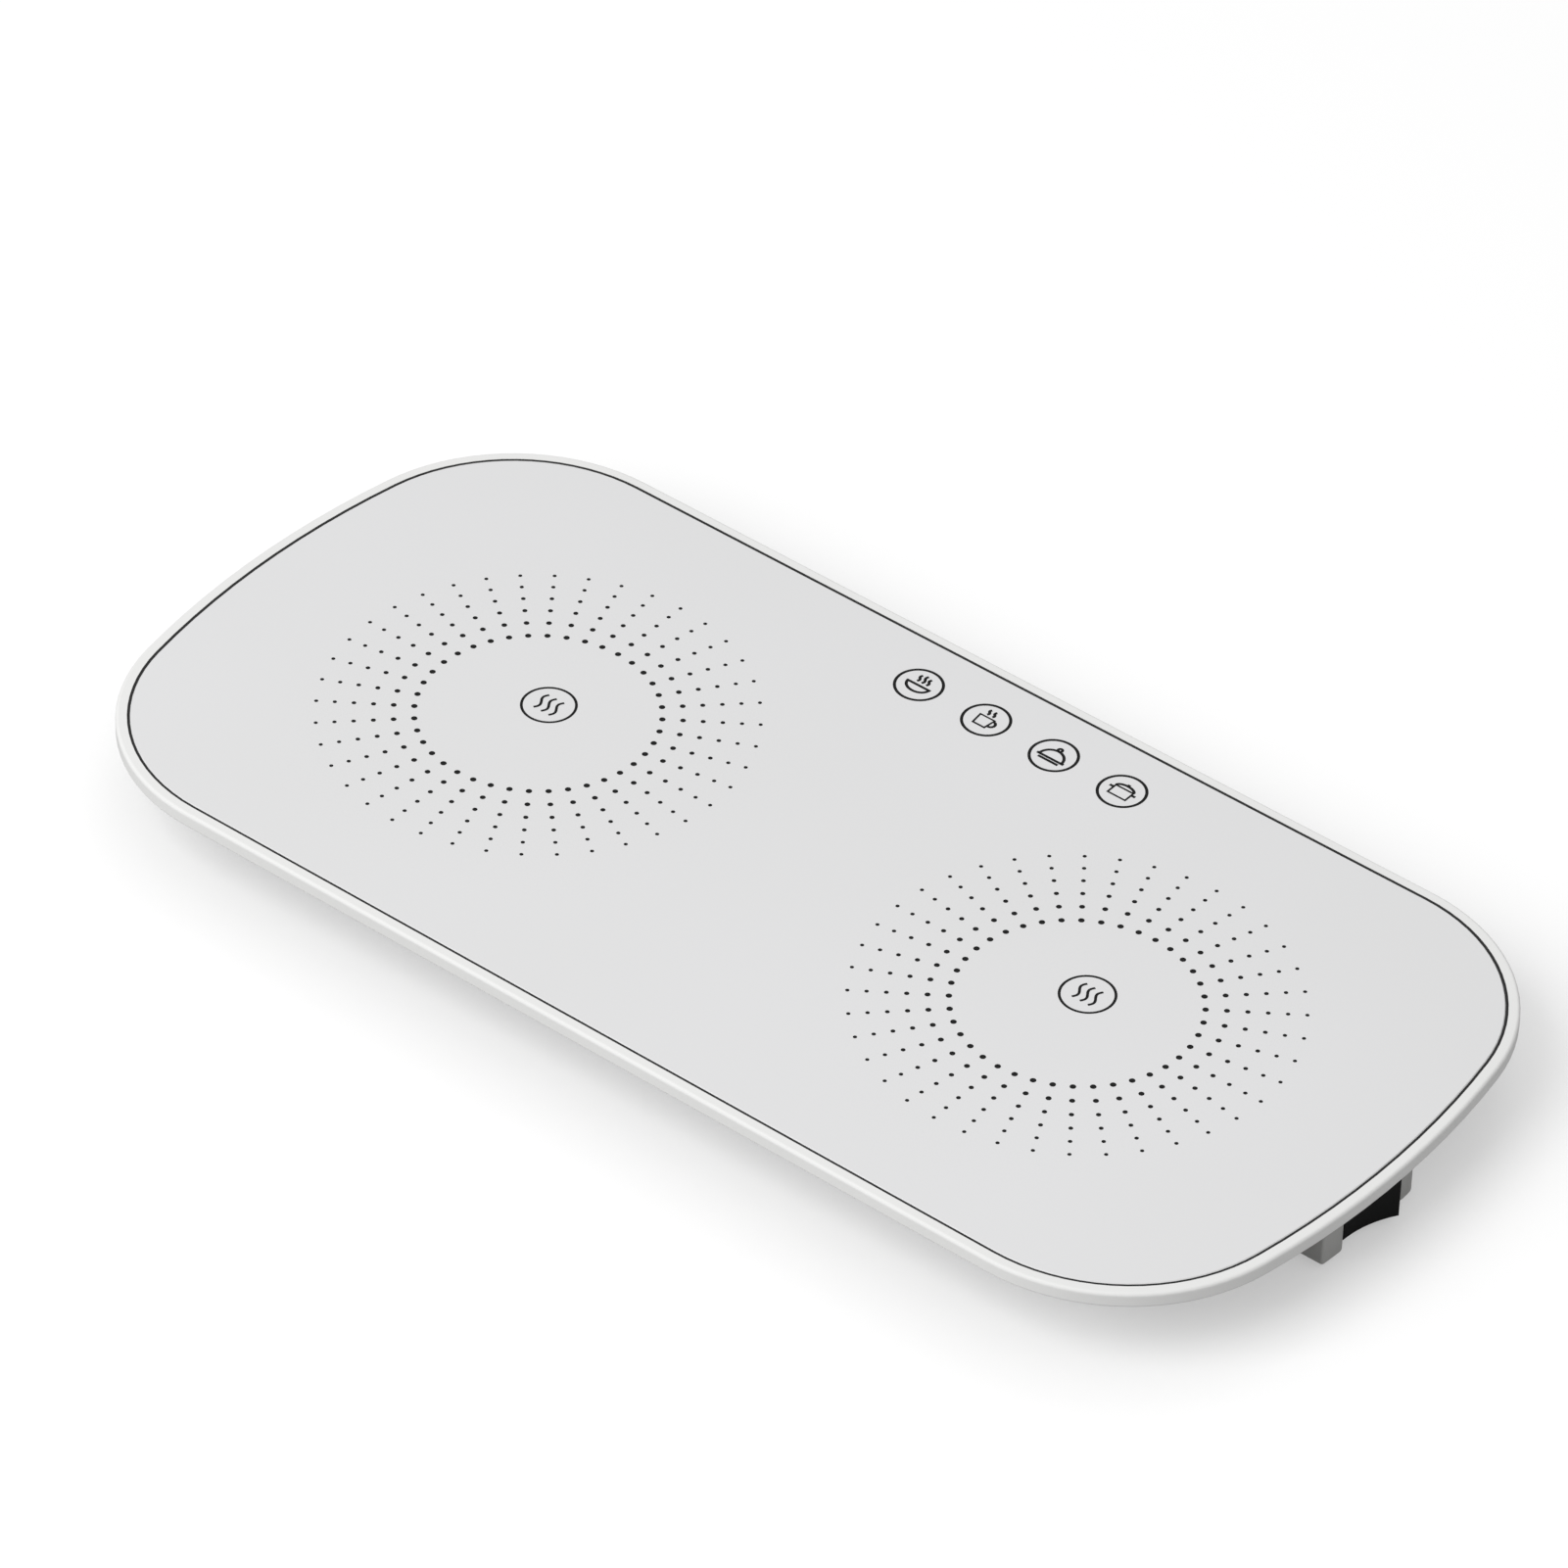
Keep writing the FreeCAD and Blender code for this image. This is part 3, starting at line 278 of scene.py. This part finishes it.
def dot_ring(radius, dot_radius, centre):
    """One ring of printed dots: a low round pad, spun round the zone's middle."""
    bpy.ops.object.select_all(action="DESELECT")
    bpy.ops.mesh.primitive_cylinder_add(vertices=dot_sides, radius=dot_radius, depth=ink_height,
                                        location=(centre.x + radius, centre.y, plate_top + ink_height / 2))
    ring = bpy.context.object
    bpy.ops.object.transform_apply(location=True, rotation=True, scale=True)
    bpy.ops.object.mode_set(mode="EDIT")
    bpy.ops.mesh.select_all(action="DESELECT")
    bpy.ops.object.mode_set(mode="OBJECT")
    for face in ring.data.polygons:
        face.select = face.normal.z > 0.9
    bpy.ops.object.mode_set(mode="EDIT")
    bpy.ops.mesh.inset(thickness=dot_radius * dot_border, depth=ink_height * dot_crown)
    bpy.ops.mesh.select_all(action="SELECT")
    bpy.ops.mesh.spin(steps=rays - 1, angle=2 * math.pi * (rays - 1) / rays, dupli=True,
                      center=centre, axis=(0, 0, 1))
    bpy.ops.object.mode_set(mode="OBJECT")
    return ring


for side, zone in ((-1, "left"), (1, "right")):
    middle = Vector((side * zone_offset, zone_shift, plate_top))
    rings = []
    for index, dot_radius in enumerate(dot_radii):
        ring_radius = first_ring + index * ring_step - step_loss * index * (index - 1) / 2
        rings.append(dot_ring(ring_radius, dot_radius, middle))
    dots = joined(rings, "zone_dots_" + zone)
    dots.data.materials.append(enamel)
    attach(dots, "tray")


def stroke(points, width, closed=False):
    """A printed line: a smooth curve given a round nib, then pressed flat on the plate."""
    curve = bpy.data.curves.new("stroke", "CURVE")
    curve.dimensions = "3D"
    curve.bevel_depth = width / 2
    curve.bevel_resolution = 1
    curve.use_fill_caps = True
    spline = curve.splines.new("POLY")
    spline.points.add(len(points) - 1)
    for point, place in zip(spline.points, points):
        point.co = (place[0], place[1], 0, 1)
    spline.use_cyclic_u = closed
    line = bpy.data.objects.new("stroke", curve)
    bpy.context.scene.collection.objects.link(line)
    only(line)
    bpy.ops.object.convert(target="MESH")
    line = bpy.context.object
    line.scale.z = ink_height / width
    line.location.z = plate_top + ink_height / 2
    bpy.ops.object.transform_apply(location=True, rotation=True, scale=True)
    return line


def arc(centre, radius, start, end, steps=24, flatten=1.0):
    """Points along an arc between two angles in degrees, flattened across if asked."""
    points = []
    for step in range(steps + 1):
        angle = math.radians(start + (end - start) * step / steps)
        points.append((centre[0] + radius * math.cos(angle), centre[1] + radius * flatten * math.sin(angle)))
    return points


def wave(x, low, high, sway, steps=18):
    """A rising wavy line, as of warm air."""
    points = []
    for step in range(steps + 1):
        rise = step / steps
        points.append((x + sway * math.sin(rise * 2 * math.pi), low + (high - low) * rise))
    return points


def mark(name, centre, shapes, width):
    """A printed mark made of strokes that are given in millimetres from its middle."""
    millimetre = 0.001
    lines = []
    for points, closed in shapes:
        placed = [(centre[0] + x * millimetre, centre[1] + y * millimetre) for x, y in points]
        lines.append(stroke(placed, width, closed))
    piece = joined(lines, name)
    piece.data.materials.append(enamel)
    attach(piece, "tray")
    return piece


ring_outline = (arc((0, 0), sign_radius, 0, 352.5, 47), True)
bowl = [
    ring_outline,
    (arc((0, -0.2), 3.7, 180, 360, flatten=0.78), False),
    ([(-4.2, -0.2), (4.2, -0.2)], False),
    (wave(-1.6, 1.1, 3.9, 0.35), False),
    (wave(0.0, 1.1, 4.5, 0.35), False),
    (wave(1.6, 1.1, 3.9, 0.35), False),
]
cup = [
    ring_outline,
    ([(-2.9, 1.2), (-2.4, -2.9), (1.6, -2.9), (2.1, 1.2)], True),
    (arc((2.1, -0.6), 1.3, 80, -95, 12), False),
    (wave(-1.3, 2.1, 4.4, 0.3), False),
    (wave(0.5, 2.1, 4.4, 0.3), False),
]
cloche = [
    ring_outline,
    (arc((0, -1.6), 3.8, 0, 180), False),
    ([(-4.6, -1.6), (4.6, -1.6)], False),
    ([(-3.4, -2.7), (3.4, -2.7)], False),
    (arc((0, 2.9), 0.65, 0, 330, 11), True),
]
pot = [
    ring_outline,
    ([(-3.0, 1.2), (-3.0, -2.6), (3.0, -2.6), (3.0, 1.2)], True),
    ([(-4.4, 0.2), (-3.0, 0.2)], False),
    ([(3.0, 0.2), (4.4, 0.2)], False),
    (arc((0, 1.2), 3.0, 0, 180, flatten=0.5), False),
    ([(-0.5, 3.1), (0.5, 3.1)], False),
]
for index, (name, shapes) in enumerate((("bowl", bowl), ("cup", cup), ("cloche", cloche), ("pot", pot))):
    mark("printed_" + name + "_mark", (row_start + index * row_pitch, row_y), shapes, sign_line)

warmth = [
    (arc((0, 0), warmth_radius, 0, 353, 51), True),
    (wave(-2.7, -3.4, 3.4, 0.75), False),
    (wave(0.0, -3.4, 3.4, 0.75), False),
    (wave(2.7, -3.4, 3.4, 0.75), False),
]
for side, zone in ((-1, "left"), (1, "right")):
    mark("warmth_mark_" + zone, (side * zone_offset, zone_shift + warmth_shift), warmth, warmth_line)


# Seal: a moulded band of black silicone that beds the plate's edge on the rim's ledge.
# Its upstand fills the gap round the plate and shows as a thin dark seam.
def silicone(name, colour):
    """Silicone rubber: matt, with a dusty sheen and a faint bloom."""
    bloom_size, bloom_share = 0.003, 0.25
    skin_depth = 0.00002
    material, tree = new_material(name)
    place = add_node(tree, "ShaderNodeTexCoord").outputs["Object"]
    bloom = add_node(tree, "ShaderNodeTexNoise", {"Vector": place, "Scale": 1 / bloom_size, "Detail": 3.0})
    fade = add_node(tree, "ShaderNodeMapRange", {"Value": bloom.outputs["Fac"], "To Max": bloom_share})
    tint = add_node(tree, "ShaderNodeMix", {"Factor": fade.outputs["Result"], "A": linear(colour),
                                            "B": linear("3A3A3A")}, data_type="RGBA")
    relief = add_node(tree, "ShaderNodeBump", {"Height": bloom.outputs["Fac"], "Distance": skin_depth,
                                               "Strength": 0.4})
    shader = add_node(tree, "ShaderNodeBsdfPrincipled", {
        "Base Color": tint.outputs["Result"], "Roughness": 0.72, "Normal": relief.outputs["Normal"],
        "IOR": 1.43})
    finish_material(tree, shader.outputs[0])
    return material


black_silicone = silicone("black_silicone", "101010")
dress("edge_seal", black_silicone)
dress("pan_grommet", black_silicone)


# Pan: the underside cover, moulded in mid-grey ABS with a coarser spark-eroded grain.
# Twelve screws hold its flange up against the rim.
dress("bottom_pan", moulded_plastic("spark_textured_abs", colour="CDCDCB", shade="C6C6C4",
                                    grain=0.0006, depth=0.00005, roughness=0.5))


# Screws: zinc-plated steel with rounded heads and cross recesses, driven from below. The
# same plating covers the rocker's pin and spring, and the strap under the thermostat.
def zinc_steel():
    """Bright zinc plating: grey metal with a soft, slightly uneven shine."""
    patch_size = 0.0012
    material, tree = new_material("zinc_plated_steel")
    place = add_node(tree, "ShaderNodeTexCoord").outputs["Object"]
    patch = add_node(tree, "ShaderNodeTexNoise", {"Vector": place, "Scale": 1 / patch_size, "Detail": 3.0})
    tint = add_node(tree, "ShaderNodeMix", {"Factor": patch.outputs["Fac"], "A": linear("B5B6B8"),
                                            "B": linear("D5D6D8")}, data_type="RGBA")
    sheen = add_node(tree, "ShaderNodeMapRange", {"Value": patch.outputs["Fac"],
                                                  "To Min": 0.22, "To Max": 0.42})
    shader = add_node(tree, "ShaderNodeBsdfPrincipled", {
        "Base Color": tint.outputs["Result"], "Metallic": 1.0, "Roughness": sheen.outputs["Result"]})
    finish_material(tree, shader.outputs[0])
    return material


steel = zinc_steel()
for node_name in ("pan_screws", "leg_screws", "pod_screws", "strap_screws", "rocker_pin",
                  "plunger_spring", "thermostat_strap"):
    dress(node_name, steel)


# Legs and feet: tapered posts of grey ABS, each held to the pan by one screw up through it,
# with a black rubber foot plugged into its bore.
leg_plastic = moulded_plastic("grey_abs_leg", colour="BABAB8", shade="B2B2B0",
                              grain=0.0005, depth=0.00003, roughness=0.45)
foot_rubber = silicone("black_foot_rubber", "181818")
for place in ("near_left", "near_right", "far_left", "far_right"):
    dress("leg_" + place, leg_plastic)
    dress("foot_" + place, foot_rubber)


# Pod: the housing of the switch and the power inlet, moulded in grey ABS and held up
# against the pan by four screws. Its two cheeks stand either side of the rocker.
# The pod's grey is partly the plastic's own tone and partly painted shade: it is set darker to stand for the
# shade under the tray's overhang.
dress("switch_pod", moulded_plastic("grey_abs_pod_with_painted_shade", colour="B8B8B6", shade="B2B2B0",
                                    grain=0.0004, depth=0.00003, roughness=0.45))


# Rocker switch and inlet: bought-in parts of black nylon, moulded with a fine satin grain.
# The switch clips into the pod's front wall, and the inlet sits in its far wall.
black_nylon = moulded_plastic("black_nylon", colour="0E0E0E", shade="090909",
                              grain=0.0003, depth=0.00001, roughness=0.55, gloss=0.2)
for node_name in ("switch_case", "rocker", "power_inlet"):
    dress(node_name, black_nylon)


# Contacts: stamped from rolled brass strip or turned from brass rod, in the switch, the
# inlet and the thermostat, and as the busbars along the heaters.
def bare_brass():
    """Rolled brass strip: warm metal, dulled a little in patches by handling."""
    patch_size = 0.002
    material, tree = new_material("rolled_brass")
    place = add_node(tree, "ShaderNodeTexCoord").outputs["Object"]
    patch = add_node(tree, "ShaderNodeTexNoise", {"Vector": place, "Scale": 1 / patch_size, "Detail": 3.0})
    tint = add_node(tree, "ShaderNodeMix", {"Factor": patch.outputs["Fac"], "A": linear("B08D3C"),
                                            "B": linear("D9BC6A")}, data_type="RGBA")
    shader = add_node(tree, "ShaderNodeBsdfPrincipled", {
        "Base Color": tint.outputs["Result"], "Metallic": 1.0, "Roughness": 0.32})
    finish_material(tree, shader.outputs[0])
    return material


brass = bare_brass()
for node_name in ("contact_lever", "lever_rivet", "common_tab", "line_tab", "inlet_pins",
                  "contact_plunger", "thermostat_tabs", "heater_busbars"):
    dress(node_name, brass)


# Heaters and insulation: two etched-foil heaters laminated in amber polyimide film, bonded
# to the glass, and a mat of needled glass fibre that lies under them.
film = moulded_plastic("amber_polyimide_film", colour="A8641C", shade="8F5013",
                       grain=0.002, depth=0.00001, roughness=0.3)
for node_name in ("heater_left", "heater_right"):
    dress(node_name, film)


def glass_fibre_mat():
    """Needled glass fibre: cream, matt, with short tangled fibres."""
    fibre_size, fibre_depth = 0.0015, 0.0004
    material, tree = new_material("needled_glass_fibre")
    place = add_node(tree, "ShaderNodeTexCoord").outputs["Object"]
    fibre = add_node(tree, "ShaderNodeTexNoise", {"Vector": place, "Scale": 1 / fibre_size, "Detail": 6.0,
                                                  "Distortion": 2.0})
    tint = add_node(tree, "ShaderNodeMix", {"Factor": fibre.outputs["Fac"], "A": linear("C8C0A4"),
                                            "B": linear("F2EEDD")}, data_type="RGBA")
    relief = add_node(tree, "ShaderNodeBump", {"Height": fibre.outputs["Fac"], "Distance": fibre_depth})
    shader = add_node(tree, "ShaderNodeBsdfPrincipled", {
        "Base Color": tint.outputs["Result"], "Roughness": 0.95, "Normal": relief.outputs["Normal"]})
    finish_material(tree, shader.outputs[0])
    return material


dress("insulation_mat", glass_fibre_mat())


# Thermostat, fuse and wires: a snap switch in a brown bakelite body, pressed up against
# the right-hand heater, and a fuse and leads in cream silicone sleeving.
dress("thermostat", moulded_plastic("brown_bakelite", colour="3A2318", shade="2C1911",
                                    grain=0.0005, depth=0.00002, roughness=0.4))
sleeve = silicone("cream_silicone_sleeve", "D8D2C4")
for node_name in ("thermal_fuse", "wire_live", "wire_switched", "wire_to_fuse", "wire_feed",
                  "wire_neutral", "wire_link_near", "wire_link_far"):
    dress(node_name, sleeve)
